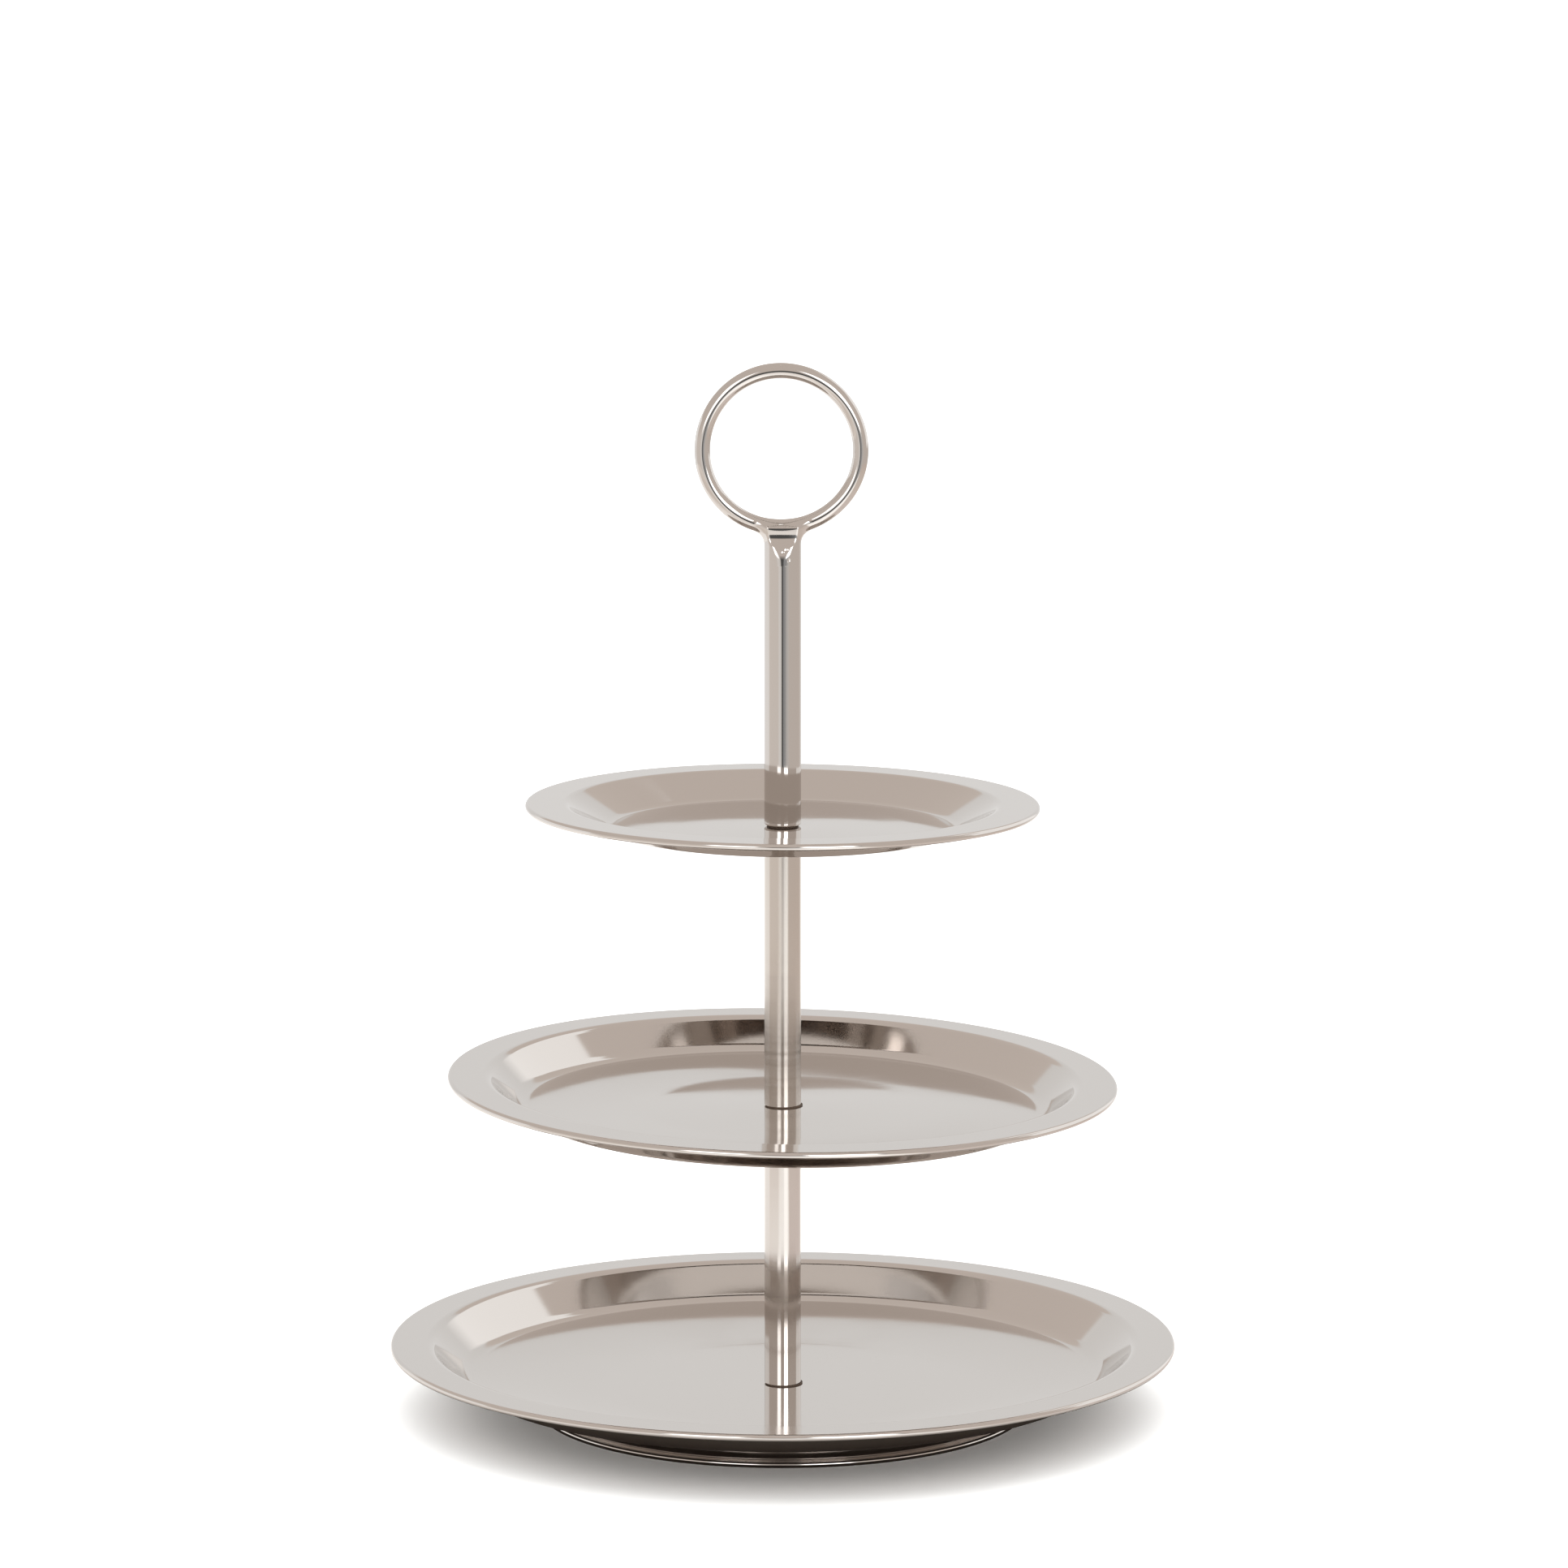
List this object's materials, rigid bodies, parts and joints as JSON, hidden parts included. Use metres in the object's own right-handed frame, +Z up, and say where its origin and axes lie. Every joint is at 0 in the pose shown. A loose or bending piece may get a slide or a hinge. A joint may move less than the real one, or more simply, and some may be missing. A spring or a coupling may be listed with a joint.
{
  "type": "tiered cake stand",
  "caption": "Tiered serving stand of round pressed steel plates on threaded posts, with a ring handle on top and a dished foot.",
  "frame": {"origin": "on the posts' common axis, on the table under the foot", "axes": "+Z up along the posts; the handle's ring lies in the XZ plane, so -Y is the front"},
  "size_m": [0.3, 0.3, 0.402],
  "materials": {
    "polished_stainless": "mirror polished, fine scratches round the tube",
    "pressed_stainless": "pressed sheet, polished to a mirror, faint wiping marks",
    "brushed_stainless": "polished, then brushed finely round the tube",
    "ground_stainless": "weld ground smooth and polished",
    "turned_stainless": "turned and threaded, left as cut",
    "zinc_plated_steel": "bright zinc plate",
    "nylon_washer": "punched brown fibre and nylon"
  },
  "bodies": {
    "base": {"foot": "pressed_stainless", "foot_washer": "zinc_plated_steel", "lock_washer": "zinc_plated_steel", "foot_screw": "zinc_plated_steel", "bottom_plate": "pressed_stainless", "lower_washer": "nylon_washer", "lower_post": "polished_stainless", "lower_post_bottom_plug": "turned_stainless", "lower_post_top_plug": "turned_stainless"},
    "middle_plate": {"middle_plate": "pressed_stainless"},
    "middle_lift": {"middle_washer": "nylon_washer"},
    "middle_post": {"middle_post": "brushed_stainless", "middle_post_bottom_plug": "turned_stainless", "middle_stud": "turned_stainless", "middle_post_top_plug": "turned_stainless"},
    "top_plate": {"top_plate": "pressed_stainless"},
    "handle_lift": {"upper_washer": "nylon_washer"},
    "handle": {"handle_ring": "polished_stainless", "handle_neck": "ground_stainless", "upper_post": "polished_stainless", "upper_post_plug": "turned_stainless", "upper_stud": "turned_stainless"}
  },
  "joints": [
    {"name": "middle_plate_turn", "type": "hinge", "parent": "base", "child": "middle_plate", "pos_m": [0, 0, 0.1182], "axis": [0, 0, 1], "continuous": true},
    {"name": "middle_post_lift", "type": "slide", "parent": "base", "child": "middle_lift", "axis": [0, 0, 1], "range_m": [0, 0.008]},
    {"name": "middle_post_unscrew", "type": "hinge", "parent": "middle_lift", "child": "middle_post", "pos_m": [0, 0, 0.1186], "axis": [0, 0, 1], "range_deg": [0, 2880]},
    {"name": "top_plate_turn", "type": "hinge", "parent": "middle_post", "child": "top_plate", "pos_m": [0, 0, 0.2261], "axis": [0, 0, 1], "continuous": true},
    {"name": "handle_lift", "type": "slide", "parent": "middle_post", "child": "handle_lift", "axis": [0, 0, 1], "range_m": [0, 0.008]},
    {"name": "handle_unscrew", "type": "hinge", "parent": "handle_lift", "child": "handle", "pos_m": [0, 0, 0.2265], "axis": [0, 0, 1], "range_deg": [0, 2880]}
  ],
  "couplings": [
    {"joint": "middle_post_unscrew", "follows": "middle_post_lift", "rad_per_m": 6283},
    {"joint": "handle_unscrew", "follows": "handle_lift", "rad_per_m": 6283}
  ]
}
